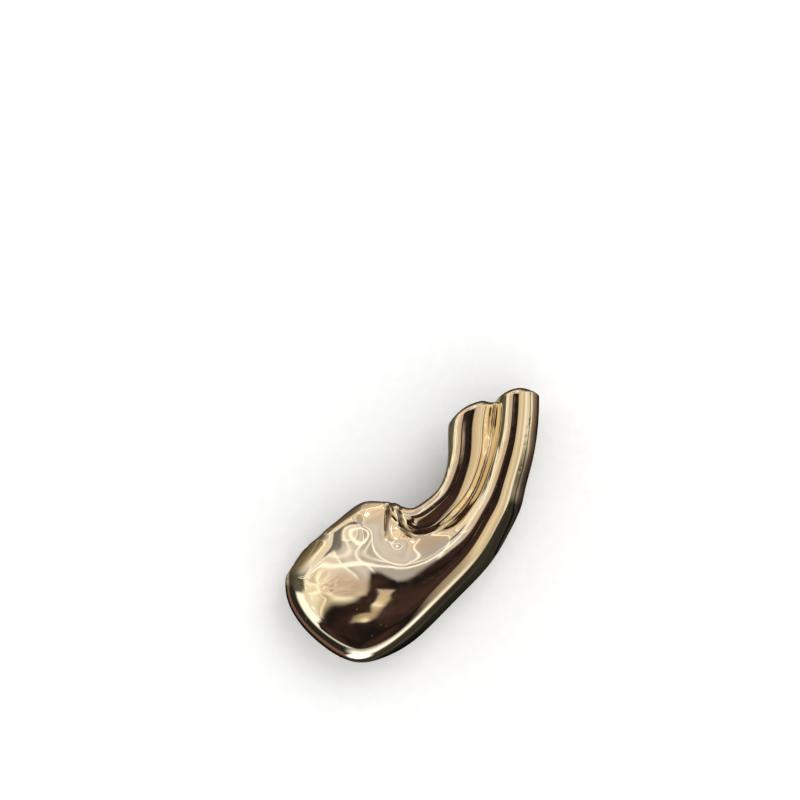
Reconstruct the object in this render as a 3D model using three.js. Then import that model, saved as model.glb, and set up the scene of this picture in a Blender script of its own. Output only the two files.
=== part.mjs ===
// Ear cuff: one cast shell that folds over the rim of the ear, from the helix down to the lobe.
//
// The shell lies on its flat back wall, with the front up. Its outside is a sheet of two
// directions: "along" follows the ear from the cut end at the helix (0) round the lobe to the
// corner (19), and "across" runs from the mouth edge on the front, over the folds, round the rim
// and in again under the ear as the back wall. A second sheet one wall thickness further in and
// a rounded lip all the way round close it.
import * as THREE from 'three';

// ---- driving sizes, in millimetres ----
const WALL = 1.0; // thickness of the casting
const RIM_HEIGHT = 5.2; // height of the widest line of the rim over the back
const LIP_BULGE = 0.8; // how round the lips are: 1 is a half circle
const INNER_ROLL = 2.6; // least turning radius of the inner sheet at the rim
const SECTION_PITCH = 3.6; // distance between the first two sections
const RIM_POWER = 2.3; // 2 rolls as a circle, more is squarer
const BACK_POWER = 2.2;
const VALLEY_BLEND = 0.4; // rounding of the hollow between the two folds
const TIP_BLEND = 0.35;
const INNER_BLEND = 0.8; // the same two hollows, on the inner sheet
const INNER_SMOOTHING = 3; // passes

// ---- how finely the sheet is divided ----
const ALONG_STEPS = 62;
const FRONT_STEPS = 18;
const ROLL_STEPS = 5;
const BACK_STEPS = 3;
const LIP_STEPS = 3;
const RIM_SAMPLES = 240;
const CREST_SAMPLES = 60;
const LIP_EASING = 3; // passes that turn the lip gently round the corners

// The outline, seen from the front: a point on the rim and the facing point on the mouth edge.
const OUTLINE = [
  { rim: [15.9, 18.1], mouth: [5.1, 15.9] },
  { rim: [15.9, 14.4], mouth: [4.4, 12.6] },
  { rim: [15.6, 10.9], mouth: [4.4, 9.9] },
  { rim: [15.0, 7.7], mouth: [4.3, 7.6] },
  { rim: [14.2, 4.6], mouth: [3.7, 5.5] },
  { rim: [13.55, 2.0], mouth: [2.8, 4.1] },
  { rim: [12.0, -1.2], mouth: [1.4, 3.0] },
  { rim: [9.75, -4.8], mouth: [-0.1, 2.2] },
  { rim: [6.4, -8.4], mouth: [-1.5, 2.3] },
  { rim: [3.3, -11.55], mouth: [-2.5, 2.7] },
  { rim: [0.1, -14.5], mouth: [-3.5, 3.1] },
  { rim: [-3.3, -16.4], mouth: [-4.8, 3.2] },
  { rim: [-6.5, -17.1], mouth: [-6.1, 3.0] },
  { rim: [-9.5, -16.1], mouth: [-7.5, 2.1] },
  { rim: [-12.2, -14.1], mouth: [-8.9, 1.0] },
  { rim: [-14.2, -11.9], mouth: [-10.1, 0.0] },
  { rim: [-15.5, -9.4], mouth: [-11.2, -1.0] },
  { rim: [-15.8, -7.1], mouth: [-12.2, -1.8] },
  { rim: [-15.5, -5.6], mouth: [-13.0, -2.5] },
  { rim: [-14.7, -4.4], mouth: [-13.6, -3.2] },
];
const LAST = OUTLINE.length - 1;

// The top of the outer fold in plan, from the cut end to the middle of the lobe.
const CREST_LINE = [
  [13.2, 17.5], [12.8, 12.0], [11.9, 8.0], [10.6, 4.0], [9.3, 1.4], [7.6, -1.6], [5.4, -4.2],
  [3.0, -6.2], [0.6, -7.5], [-1.6, -8.0],
];
const CREST_END_RADIUS = 30.0; // how the lobe bows down past the end of that line

// The outer fold: height of its crest, how far the rim's roll reaches in, the crest's radius
// towards the mouth and towards the rim, and how far and how deep it falls towards the mouth.
const HELIX = [
  { at: 0, crest: 10.4, roll: 3.0, radius: 5.0, rimRadius: 5.0, flank: 2.9, fall: 2.6 },
  { at: 3, crest: 10.5, roll: 3.2, radius: 5.0, rimRadius: 5.0, flank: 2.9, fall: 2.6 },
  { at: 5, crest: 10.6, roll: 3.4, radius: 5.0, rimRadius: 5.0, flank: 3.1, fall: 2.6 },
  { at: 6.5, crest: 10.6, roll: 3.7, radius: 5.5, rimRadius: 6.0, flank: 4.2, fall: 2.7 },
  { at: 8, crest: 10.6, roll: 3.9, radius: 8.0, rimRadius: 9.0, flank: 8.0, fall: 2.9 },
  { at: 10, crest: 10.6, roll: 3.6, radius: 14.0, rimRadius: 12.0, flank: 13.0, fall: 3.3 },
  { at: 12, crest: 10.6, roll: 3.2, radius: 16.0, rimRadius: 15.0, flank: 14.5, fall: 3.4 },
  { at: 19, crest: 10.6, roll: 3.0, radius: 16.0, rimRadius: 19.0, flank: 14.5, fall: 3.4 },
];

// The inner fold, along the mouth edge: its centre's distance from the edge, how far its round top
// reaches from there, and its height. It ends in a round tip above the lobe.
const ANTIHELIX = [
  { at: 0, centre: 2.6, top: 1.95, crest: 10.2 },
  { at: 2, centre: 2.3, top: 1.9, crest: 10.2 },
  { at: 3.5, centre: 1.85, top: 1.8, crest: 10.2 },
  { at: 5, centre: 1.8, top: 1.6, crest: 10.2 },
  { at: 7, centre: 1.9, top: 1.5, crest: 10.1 },
  { at: 11, centre: 1.9, top: 1.5, crest: 9.6 },
];
const ANTIHELIX_BOW = { radius: 5.5, edge: 0.016 }; // its round top, and its turn down to the edge
const ANTIHELIX_WALL = { slope: 0.85, turn: 0.12, innerTurn: 0.5 }; // its steep side and its start
const TIP = { x: 0.6, y: 0.9, towardsX: -0.868, towardsY: -0.496 };

// The hollow between the folds: its height, which fades out below the lobe.
const VALLEY = [
  { at: 0, height: 7.4 },
  { at: 5, height: 7.4 },
  { at: 7, height: 7.6 },
  { at: 8.2, height: 7.0 },
  { at: 10, height: 4.5 },
  { at: 19, height: 3.5 },
];

// The back wall: radius of its roll at the rim and its whole reach in from the rim.
const BACK = [
  { at: 0, roll: 3.2, reach: 6.0 },
  { at: 3, roll: 3.2, reach: 6.6 },
  { at: 6, roll: 3.2, reach: 7.6 },
  { at: 9, roll: 2.9, reach: 9.0 },
  { at: 12, roll: 2.6, reach: 9.6 },
  { at: 14, roll: 2.4, reach: 8.8 },
  { at: 16, roll: 2.2, reach: 6.0 },
  { at: 17.5, roll: 2.0, reach: 4.0 },
];

// The cut end at the helix: how far each part of the front rises over the second section.
const CUT_END = [
  { across: 0, rise: -0.1 },
  { across: 0.09, rise: 1.1 },
  { across: 0.25, rise: 1.75 },
  { across: 0.37, rise: 1.75 },
  { across: 0.45, rise: 1.6 },
  { across: 0.54, rise: 2.25 },
  { across: 0.64, rise: 2.7 },
  { across: 0.74, rise: 2.7 },
  { across: 0.87, rise: 2.4 },
  { across: 1, rise: 1.7 },
];
const BACK_END_RISE = -2.6;
const CORNER = { end: 17.3, bow: 0.15 }; // where the sheet stops at the lobe's corner, bowed out

// Folds pressed into the front: the notch between the lobe and the ear, and a crease beside it.
const CREASES = [
  { path: [[-2.85, 3.6], [-3.0, 1.6], [-3.2, -1.6]], depth: 0.45, width: 0.7 },
  { path: [[-2.0, 3.3], [-1.1, -0.1], [0.6, -1.7]], depth: 0.25, width: 0.7 },
];

// Soft rises of the front.
const SWELLS = [
  { centre: [-1.7, -1.6], radius: 1.0, height: 0.2 },
  { centre: [-6.3, 0.7], radius: 2.2, height: 0.42 },
  { centre: [-11.0, -8.2], radius: 2.2, height: 0.1 },
];

// Soft fall of the front to the lobe's mouth edge.
const EDGE_EASE = { from: 9.3, to: 15.5, rate: 3, drop: 0.35, width: 0.7 };

const GOLD = new THREE.MeshStandardMaterial({ color: 0xd9b778, metalness: 1, roughness: 0.16 });

// Natural cubic spline through (x, y) pairs.
function spline(xs, ys) {
  const count = xs.length;
  const slope = (i) => (ys[i + 1] - ys[i]) / (xs[i + 1] - xs[i]);
  const upper = new Array(count).fill(0);
  const right = new Array(count).fill(0);
  const bend = new Array(count).fill(0);
  for (let i = 1; i < count - 1; i += 1) {
    const before = xs[i] - xs[i - 1];
    const after = xs[i + 1] - xs[i];
    const pivot = 2 * (before + after) - before * upper[i - 1];
    upper[i] = after / pivot;
    right[i] = (6 * (slope(i) - slope(i - 1)) - before * right[i - 1]) / pivot;
  }
  for (let i = count - 2; i > 0; i -= 1) {
    bend[i] = right[i] - upper[i] * bend[i + 1];
  }
  return (x) => {
    let i = 0;
    while (i < count - 2 && x > xs[i + 1]) {
      i += 1;
    }
    const span = xs[i + 1] - xs[i];
    const a = (xs[i + 1] - x) / span;
    const b = 1 - a;
    const curved = ((a ** 3 - a) * bend[i] + (b ** 3 - b) * bend[i + 1]) * span * span / 6;
    return a * ys[i] + b * ys[i + 1] + curved;
  };
}

// One spline for each named column of a table.
function columns(rows, key = 'at') {
  const places = rows.map((row) => row[key]);
  const names = Object.keys(rows[0]).filter((name) => name !== key);
  return Object.fromEntries(names.map((name) => [name, spline(places, rows.map((r) => r[name]))]));
}

const outline = columns(OUTLINE.map(({ rim, mouth }, at) => (
  { at, rimX: rim[0], rimY: rim[1], mouthX: mouth[0], mouthY: mouth[1] }
)));
const helix = columns(HELIX);
const antihelix = columns(ANTIHELIX);
const valley = columns(VALLEY);
const back = columns(BACK);
const cutEnd = columns(CUT_END, 'across');

const rimLine = Array.from({ length: RIM_SAMPLES + 1 }, (_, i) => {
  const at = i * LAST / RIM_SAMPLES;
  return [outline.rimX(at), outline.rimY(at)];
});

// The crest line as a smooth curve through its points.
const crestCurve = (() => {
  const places = CREST_LINE.map((_, i) => i);
  const x = spline(places, CREST_LINE.map((point) => point[0]));
  const y = spline(places, CREST_LINE.map((point) => point[1]));
  return Array.from({ length: CREST_SAMPLES + 1 }, (_, i) => {
    const at = i * (CREST_LINE.length - 1) / CREST_SAMPLES;
    return [x(at), y(at)];
  });
})();

// How (x, y) lies by a line of straight pieces in plan: its distance, less than 0 to the line's
// right, and how far past the line's end it is.
function beside(x, y, line) {
  let least = Infinity;
  let signed = 0;
  let past = 0;
  for (let i = 1; i < line.length; i += 1) {
    const [x0, y0] = line[i - 1];
    const dx = line[i][0] - x0;
    const dy = line[i][1] - y0;
    const length = Math.hypot(dx, dy);
    const share = ((x - x0) * dx + (y - y0) * dy) / length ** 2;
    const t = Math.min(1, Math.max(0, share));
    const away = Math.hypot(x - x0 - t * dx, y - y0 - t * dy);
    if (away < least) {
      const straight = (dx * (y - y0) - dy * (x - x0)) / length;
      const beyond = i === line.length - 1 && share > 1;
      least = away;
      signed = beyond ? straight : Math.sign(straight) * away;
      past = beyond ? (share - 1) * length : 0;
    }
  }
  return { distance: least, signed, past };
}

// The higher of two heights, rounded where they meet.
function rise(a, b, blend) {
  return 0.5 * (a + b + Math.hypot(a - b, blend));
}

// A quarter of a rounded square: 0 at the rim, 1 where the roll ends.
function roll(share, power) {
  const rest = 1 - Math.min(1, Math.max(0, share));
  return (1 - rest ** power) ** (1 / power);
}

function helixHeight(at, x, y) {
  const { signed, past } = beside(x, y, crestCurve);
  const flank = helix.flank(at);
  const radius = signed < 0 ? helix.radius(at) : helix.rimRadius(at);
  const steep = helix.fall(at) - flank ** 2 / (2 * helix.radius(at));
  const bow = signed ** 2 / (2 * radius) + past ** 2 / (2 * CREST_END_RADIUS);
  return helix.crest(at) - bow - steep * (Math.max(0, -signed) / flank) ** 4;
}

function antihelixHeight(at, inFromMouth, x, y, inner) {
  const pastTip = Math.max(0, (x - TIP.x) * TIP.towardsX + (y - TIP.y) * TIP.towardsY);
  const sideways = inFromMouth - antihelix.centre(at);
  const out = Math.hypot(sideways, pastTip);
  const edge = ANTIHELIX_BOW.edge * Math.max(0, -sideways) ** 4;
  const turn = inner ? ANTIHELIX_WALL.innerTurn : ANTIHELIX_WALL.turn;
  const pastTop = Math.hypot(Math.max(0, sideways), pastTip) - antihelix.top(at);
  const wall = pastTop > 0
    ? pastTop + turn * Math.log1p(Math.exp(-pastTop / turn))
    : turn * Math.log1p(Math.exp(pastTop / turn));
  const drop = out ** 2 / (2 * ANTIHELIX_BOW.radius) + edge;
  return antihelix.crest(at) - drop - ANTIHELIX_WALL.slope * wall;
}

// Height of the front before the rim's roll. The inner sheet's hollows are softer and no higher.
function frontHeight(at, inFromMouth, x, y, inner) {
  const ridge = helixHeight(at, x, y);
  const antiridge = antihelixHeight(at, inFromMouth, x, y, inner);
  const folds = rise(ridge, valley.height(at), inner ? INNER_BLEND : VALLEY_BLEND);
  let height = rise(folds, antiridge, inner ? INNER_BLEND : TIP_BLEND);
  height -= inner ? INNER_BLEND - (VALLEY_BLEND + TIP_BLEND) / 2 : 0;
  const eased = 1 / (1 + Math.exp(-(at - EDGE_EASE.from) * EDGE_EASE.rate))
    / (1 + Math.exp((at - EDGE_EASE.to) * EDGE_EASE.rate));
  height -= EDGE_EASE.drop * eased * Math.exp(-((inFromMouth / EDGE_EASE.width) ** 2));
  for (const { path, depth, width: wide } of inner ? [] : CREASES) {
    height -= depth * Math.exp(-((beside(x, y, path).distance / wide) ** 2));
  }
  for (const { centre, radius, height: tall } of inner ? [] : SWELLS) {
    height += tall * Math.exp(-((Math.hypot(x - centre[0], y - centre[1]) / radius) ** 2));
  }
  return height;
}

// A point of the front, at a share of the way from the mouth edge to the rim.
function frontPoint(at, share, inner) {
  const mouth = [outline.mouthX(at), outline.mouthY(at)];
  const rim = [outline.rimX(at), outline.rimY(at)];
  const width = Math.hypot(rim[0] - mouth[0], rim[1] - mouth[1]);
  const x = mouth[0] + (rim[0] - mouth[0]) * share;
  const y = mouth[1] + (rim[1] - mouth[1]) * share;
  const fromRim = share < 1 ? beside(x, y, rimLine).distance : 0;
  const reach = Math.max(helix.roll(at), inner ? INNER_ROLL : 0);
  const height = frontHeight(at, share * width, x, y, inner);
  const z = RIM_HEIGHT + (height - RIM_HEIGHT) * roll(fromRim / reach, RIM_POWER);
  return new THREE.Vector3(x, y, z);
}

// A point of the back, at a distance in from the rim.
function backPoint(at, fromRim, inner) {
  const mouth = [outline.mouthX(at), outline.mouthY(at)];
  const rim = [outline.rimX(at), outline.rimY(at)];
  const width = Math.hypot(rim[0] - mouth[0], rim[1] - mouth[1]);
  const x = rim[0] + (mouth[0] - rim[0]) * fromRim / width;
  const y = rim[1] + (mouth[1] - rim[1]) * fromRim / width;
  const reach = Math.max(back.roll(at), inner ? INNER_ROLL : 0);
  return new THREE.Vector3(x, y, RIM_HEIGHT * (1 - roll(fromRim / reach, BACK_POWER)));
}

// Where the line across number j starts, beyond the second section.
function startOf(j) {
  if (j <= FRONT_STEPS) {
    return 1 - cutEnd.rise(Math.sin(Math.PI / 2 * j / FRONT_STEPS)) / SECTION_PITCH;
  }
  const share = (j - FRONT_STEPS) / (ROLL_STEPS + BACK_STEPS);
  return 1 - (cutEnd.rise(1) * (1 - share) + BACK_END_RISE * share) / SECTION_PITCH;
}

// Where the line across number j stops.
function endOf(j) {
  const share = Math.min(1, Math.sin(Math.PI / 2 * j / FRONT_STEPS));
  return CORNER.end + (j < FRONT_STEPS ? CORNER.bow * 4 * share * (1 - share) : 0);
}

// The sheet as rows along of points across.
function sheet(inner) {
  const lip = WALL * LIP_BULGE / 2;
  const rows = [];
  for (let i = 0; i <= ALONG_STEPS; i += 1) {
    const row = [];
    for (let j = 0; j <= FRONT_STEPS + ROLL_STEPS + BACK_STEPS; j += 1) {
      const start = startOf(j);
      const at = start + (endOf(j) - start) * i / ALONG_STEPS;
      if (j <= FRONT_STEPS) {
        const width = Math.hypot(
          outline.rimX(at) - outline.mouthX(at), outline.rimY(at) - outline.mouthY(at));
        const share = Math.sin(Math.PI / 2 * j / FRONT_STEPS);
        row.push(frontPoint(at, share + (1 - share) * lip / width, inner));
      } else {
        const round = Math.min(1, (j - FRONT_STEPS) / ROLL_STEPS);
        const flat = Math.max(0, (j - FRONT_STEPS - ROLL_STEPS) / BACK_STEPS);
        const rollEnd = back.roll(at) * (1 - Math.cos(Math.PI / 2 * round));
        row.push(backPoint(at, rollEnd + (back.reach(at) - back.roll(at)) * flat, inner));
      }
    }
    rows.push(row);
  }
  return rows;
}

// Unit normals of a sheet, pointing out of the shell.
function normalsOf(rows) {
  const lastRow = rows.length - 1;
  const lastColumn = rows[0].length - 1;
  return rows.map((row, i) => row.map((_, j) => {
    const along = rows[Math.min(lastRow, i + 1)][j].clone().sub(rows[Math.max(0, i - 1)][j]);
    const across = row[Math.min(lastColumn, j + 1)].clone().sub(row[Math.max(0, j - 1)]);
    return across.cross(along).negate().normalize();
  }));
}

// The grid places round the sheet's four edges, once round.
function loopOf(rows) {
  const lastRow = rows.length - 1;
  const lastColumn = rows[0].length - 1;
  const loop = [];
  for (let j = 0; j < lastColumn; j += 1) {
    loop.push([0, j]);
  }
  for (let i = 0; i < lastRow; i += 1) {
    loop.push([i, lastColumn]);
  }
  for (let j = lastColumn; j > 0; j -= 1) {
    loop.push([lastRow, j]);
  }
  for (let i = lastRow; i > 0; i -= 1) {
    loop.push([i, 0]);
  }
  return loop;
}

// The way each point of the lip bulges: out of the sheet's edge, turning gently at the corners.
function bulges(outer, inner, loop) {
  const count = loop.length;
  let ways = loop.map(([i, j], k) => {
    const [iBefore, jBefore] = loop[(k + count - 1) % count];
    const [iAfter, jAfter] = loop[(k + 1) % count];
    const edge = outer[iAfter][jAfter].clone().sub(outer[iBefore][jBefore]);
    return outer[i][j].clone().sub(inner[i][j]).cross(edge).normalize();
  });
  for (let pass = 0; pass < LIP_EASING; pass += 1) {
    ways = ways.map((way, k) => way.clone().multiplyScalar(2)
      .add(ways[(k + count - 1) % count])
      .add(ways[(k + 1) % count])
      .divideScalar(4));
  }
  return ways;
}

// A half-round lip from the outer to the inner sheet, as rings of points between the two.
function lipRings(outer, inner, loop) {
  const rings = Array.from({ length: LIP_STEPS - 1 }, () => []);
  const ways = bulges(outer, inner, loop);
  loop.forEach(([i, j], k) => {
    const through = outer[i][j].clone().sub(inner[i][j]).multiplyScalar(0.5);
    const middle = outer[i][j].clone().add(inner[i][j]).multiplyScalar(0.5);
    const size = through.length() * LIP_BULGE;
    rings.forEach((ring, step) => {
      const turn = Math.PI * (step + 1) / LIP_STEPS;
      const point = middle.clone()
        .addScaledVector(through, Math.cos(turn))
        .addScaledVector(ways[k], size * Math.sin(turn));
      ring.push(point.setZ(Math.max(0, point.z)));
    });
  });
  return rings;
}

// Every point moved half way to the mean of its neighbours; an edge keeps to its own line.
function smoothed(rows) {
  const lastRow = rows.length - 1;
  const lastColumn = rows[0].length - 1;
  return rows.map((row, i) => row.map((point, j) => {
    const around = [];
    if (i > 0 && i < lastRow) {
      around.push(rows[i - 1][j], rows[i + 1][j]);
    }
    if (j > 0 && j < lastColumn) {
      around.push(row[j - 1], row[j + 1]);
    }
    const mean = new THREE.Vector3();
    around.forEach((neighbour) => mean.addScaledVector(neighbour, 1 / around.length));
    return around.length ? point.clone().lerp(mean, 0.5) : point.clone();
  }));
}

// The inner sheet: one wall thickness in from a softer copy of the outer one.
function innerSheet() {
  const base = sheet(true);
  const normals = normalsOf(base);
  let inner = base.map((row, i) => row.map((point, j) => (
    point.clone().addScaledVector(normals[i][j], -WALL)
  )));
  for (let pass = 0; pass < INNER_SMOOTHING; pass += 1) {
    inner = smoothed(inner);
  }
  return inner;
}

function shellGeometry() {
  const outer = sheet(false);
  const inner = innerSheet();
  const loop = loopOf(outer);
  const rings = lipRings(outer, inner, loop);

  const acrossCount = outer[0].length;
  const sheetCount = outer.length * acrossCount;
  const outerIndex = (i, j) => i * acrossCount + j;
  const innerIndex = (i, j) => sheetCount + outerIndex(i, j);
  const points = [...outer.flat(), ...inner.flat(), ...rings.flat()];
  const faces = [];
  const quad = (a, b, c, d) => faces.push(a, b, c, a, c, d);

  for (let i = 0; i < ALONG_STEPS; i += 1) {
    for (let j = 0; j < acrossCount - 1; j += 1) {
      quad(outerIndex(i, j), outerIndex(i + 1, j), outerIndex(i + 1, j + 1), outerIndex(i, j + 1));
      quad(innerIndex(i, j), innerIndex(i, j + 1), innerIndex(i + 1, j + 1), innerIndex(i + 1, j));
    }
  }
  const strips = [
    loop.map(([i, j]) => outerIndex(i, j)),
    ...rings.map((ring, r) => ring.map((_, k) => 2 * sheetCount + r * loop.length + k)),
    loop.map(([i, j]) => innerIndex(i, j)),
  ];
  for (let s = 0; s < strips.length - 1; s += 1) {
    for (let k = 0; k < loop.length; k += 1) {
      const next = (k + 1) % loop.length;
      quad(strips[s][k], strips[s][next], strips[s + 1][next], strips[s + 1][k]);
    }
  }

  const geometry = new THREE.BufferGeometry();
  geometry.setAttribute('position', new THREE.Float32BufferAttribute(
    points.flatMap((p) => p.toArray()), 3));
  geometry.setIndex(faces);
  return geometry;
}

// Move a geometry so that it stands on z = 0 with its box centred over the origin.
function seat(geometry) {
  geometry.computeBoundingBox();
  const { min, max } = geometry.boundingBox;
  geometry.translate(-(min.x + max.x) / 2, -(min.y + max.y) / 2, -min.z);
  geometry.computeVertexNormals();
  return geometry;
}

function cuffShell() {
  const mesh = new THREE.Mesh(seat(shellGeometry()), GOLD);
  mesh.name = 'cuff_shell';
  return mesh;
}

const cuff = new THREE.Group();
cuff.name = 'ear_cuff';
cuff.add(cuffShell());

export default cuff;
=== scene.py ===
"""Ear cuff: the polished casting, its gold finish and a plain table-top studio round it."""

import math

import bpy
import numpy as np
from bpy.props import FloatProperty, FloatVectorProperty, PointerProperty
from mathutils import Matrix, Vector


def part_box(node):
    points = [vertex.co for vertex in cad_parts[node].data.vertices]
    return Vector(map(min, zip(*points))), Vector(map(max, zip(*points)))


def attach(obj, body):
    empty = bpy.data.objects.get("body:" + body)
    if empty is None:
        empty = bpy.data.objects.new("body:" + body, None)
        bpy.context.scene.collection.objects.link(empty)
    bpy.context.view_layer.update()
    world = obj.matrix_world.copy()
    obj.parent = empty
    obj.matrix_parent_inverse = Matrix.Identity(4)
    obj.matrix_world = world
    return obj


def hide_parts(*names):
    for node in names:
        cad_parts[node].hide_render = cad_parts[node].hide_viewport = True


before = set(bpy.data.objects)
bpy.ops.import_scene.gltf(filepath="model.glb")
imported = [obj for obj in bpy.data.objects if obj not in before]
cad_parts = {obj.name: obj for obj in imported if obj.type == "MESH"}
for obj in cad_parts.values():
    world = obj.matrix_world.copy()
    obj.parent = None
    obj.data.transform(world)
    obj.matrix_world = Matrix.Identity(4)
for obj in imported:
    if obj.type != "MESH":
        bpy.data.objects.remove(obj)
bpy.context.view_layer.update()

bl_info = {
    "name": "Ear cuff",
    "version": (1, 0, 0),
    "blender": (4, 5, 0),
    "location": "3D View > Sidebar > Ear cuff",
    "description": "Builds a cast gold ear cuff and a plain studio round it",
    "category": "Add Mesh",
}

MM = 0.001  # the tables below are in millimetres, the scene in metres

# The outline, seen from the front: a point on the rim and the facing point on the mouth edge.
OUTLINE = (
    {"rim": (15.9, 18.1), "mouth": (5.1, 15.9)},
    {"rim": (15.9, 14.4), "mouth": (4.4, 12.6)},
    {"rim": (15.6, 10.9), "mouth": (4.4, 9.9)},
    {"rim": (15.0, 7.7), "mouth": (4.3, 7.6)},
    {"rim": (14.2, 4.6), "mouth": (3.7, 5.5)},
    {"rim": (13.55, 2.0), "mouth": (2.8, 4.1)},
    {"rim": (12.0, -1.2), "mouth": (1.4, 3.0)},
    {"rim": (9.75, -4.8), "mouth": (-0.1, 2.2)},
    {"rim": (6.4, -8.4), "mouth": (-1.5, 2.3)},
    {"rim": (3.3, -11.55), "mouth": (-2.5, 2.7)},
    {"rim": (0.1, -14.5), "mouth": (-3.5, 3.1)},
    {"rim": (-3.3, -16.4), "mouth": (-4.8, 3.2)},
    {"rim": (-6.5, -17.1), "mouth": (-6.1, 3.0)},
    {"rim": (-9.5, -16.1), "mouth": (-7.5, 2.1)},
    {"rim": (-12.2, -14.1), "mouth": (-8.9, 1.0)},
    {"rim": (-14.2, -11.9), "mouth": (-10.1, 0.0)},
    {"rim": (-15.5, -9.4), "mouth": (-11.2, -1.0)},
    {"rim": (-15.8, -7.1), "mouth": (-12.2, -1.8)},
    {"rim": (-15.5, -5.6), "mouth": (-13.0, -2.5)},
    {"rim": (-14.7, -4.4), "mouth": (-13.6, -3.2)},
)

# The top of the outer fold in plan, from the cut end to the middle of the lobe.
CREST_LINE = (
    (13.2, 17.5), (12.8, 12.0), (11.9, 8.0), (10.6, 4.0), (9.3, 1.4), (7.6, -1.6), (5.4, -4.2),
    (3.0, -6.2), (0.6, -7.5), (-1.6, -8.0),
)
CREST_END_RADIUS = 30.0  # how the lobe bows down past the end of that line

# The outer fold: height of its crest, how far the rim's roll reaches in, the crest's radius
# towards the mouth and towards the rim, and how far and how deep it falls towards the mouth.
HELIX_COLUMNS = ("at", "crest", "roll", "radius", "rim_radius", "flank", "fall")
HELIX = [dict(zip(HELIX_COLUMNS, row)) for row in (
    (0, 10.4, 3.0, 5.0, 5.0, 2.9, 2.6),
    (3, 10.5, 3.2, 5.0, 5.0, 2.9, 2.6),
    (5, 10.6, 3.4, 5.0, 5.0, 3.1, 2.6),
    (6.5, 10.6, 3.7, 5.5, 6.0, 4.2, 2.7),
    (8, 10.6, 3.9, 8.0, 9.0, 8.0, 2.9),
    (10, 10.6, 3.6, 14.0, 12.0, 13.0, 3.3),
    (12, 10.6, 3.2, 16.0, 15.0, 14.5, 3.4),
    (19, 10.6, 3.0, 16.0, 19.0, 14.5, 3.4),
)]

# The inner fold, along the mouth edge: its centre's distance from the edge, how far its round top
# reaches from there, and its height. It ends in a round tip above the lobe.
ANTIHELIX = (
    {"at": 0, "centre": 2.6, "top": 1.95, "crest": 10.2},
    {"at": 2, "centre": 2.3, "top": 1.9, "crest": 10.2},
    {"at": 3.5, "centre": 1.85, "top": 1.8, "crest": 10.2},
    {"at": 5, "centre": 1.8, "top": 1.6, "crest": 10.2},
    {"at": 7, "centre": 1.9, "top": 1.5, "crest": 10.1},
    {"at": 11, "centre": 1.9, "top": 1.5, "crest": 9.6},
)
ANTIHELIX_BOW = {"radius": 5.5, "edge": 0.016}  # its round top, and its turn down to the edge
# Its steep side, and how sharply that starts, outside and on the inner sheet:
ANTIHELIX_WALL = {"slope": 0.85, "turn": 0.12, "inner_turn": 0.5}
TIP = {"place": (0.6, 0.9), "towards": (-0.868, -0.496)}  # its round tip: centre and direction

# The hollow between the folds: its height, which fades out below the lobe.
VALLEY = (
    {"at": 0, "height": 7.4},
    {"at": 5, "height": 7.4},
    {"at": 7, "height": 7.6},
    {"at": 8.2, "height": 7.0},
    {"at": 10, "height": 4.5},
    {"at": 19, "height": 3.5},
)

# The back wall: radius of its roll at the rim and its whole reach in from the rim.
BACK = (
    {"at": 0, "roll": 3.2, "reach": 6.0},
    {"at": 3, "roll": 3.2, "reach": 6.6},
    {"at": 6, "roll": 3.2, "reach": 7.6},
    {"at": 9, "roll": 2.9, "reach": 9.0},
    {"at": 12, "roll": 2.6, "reach": 9.6},
    {"at": 14, "roll": 2.4, "reach": 8.8},
    {"at": 16, "roll": 2.2, "reach": 6.0},
    {"at": 17.5, "roll": 2.0, "reach": 4.0},
)

# The cut end at the helix: how far each part of the front rises over the second section.
CUT_END = (
    {"across": 0, "rise": -0.1},
    {"across": 0.09, "rise": 1.1},
    {"across": 0.25, "rise": 1.75},
    {"across": 0.37, "rise": 1.75},
    {"across": 0.45, "rise": 1.6},
    {"across": 0.54, "rise": 2.25},
    {"across": 0.64, "rise": 2.7},
    {"across": 0.74, "rise": 2.7},
    {"across": 0.87, "rise": 2.4},
    {"across": 1, "rise": 1.7},
)
BACK_END_RISE = -2.6
SECTION_PITCH = 3.6  # distance between the first two sections
CORNER = {"end": 17.3, "bow": 0.15}  # where the sheet stops at the lobe's corner, bowed out

# Sharp folds pressed into the front: the notch between the lobe and the ear, and a crease by it.
# Each is deepest where its path starts and fades out at its end.
CREASES = (
    {"path": ((-2.85, 3.6), (-3.0, 1.6), (-3.1, 0.0), (-3.2, -1.6)), "depth": 0.38, "width": 0.3},
    {"path": ((-2.0, 3.3), (-1.6, 1.6), (-1.1, -0.1), (-0.3, -0.9), (0.6, -1.7)),
     "depth": 0.26, "width": 0.3},
)

CREASE_FADE = 4  # power by which a crease fades along its path
CREASE_SHADE_FADE = 6  # the same for the painted shade in it
CREASE_SHADE_SPREAD = 0.8  # width of the painted shade in a crease, for the crease's own width

# Soft rises of the front.
SWELLS = (
    {"centre": (-1.7, -1.6), "radius": 1.0, "height": 0.2},
    {"centre": (-6.3, 0.7), "radius": 2.2, "height": 0.42},
    {"centre": (-11.0, -8.2), "radius": 2.2, "height": 0.10},
)

# Small casting pits along the rim side of the helix: place and radius.
PITS = (
    {"place": (14.6, 13.4), "radius": 0.22},
    {"place": (14.6, 12.75), "radius": 0.18},
    {"place": (14.35, 12.1), "radius": 0.25},
    {"place": (14.1, 11.1), "radius": 0.2},
    {"place": (14.0, 10.1), "radius": 0.16},
    {"place": (13.6, 7.4), "radius": 0.2},
    {"place": (13.4, 6.9), "radius": 0.22},
)
PIT_SHAPE = 0.16  # depth of a pit for its radius

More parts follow.
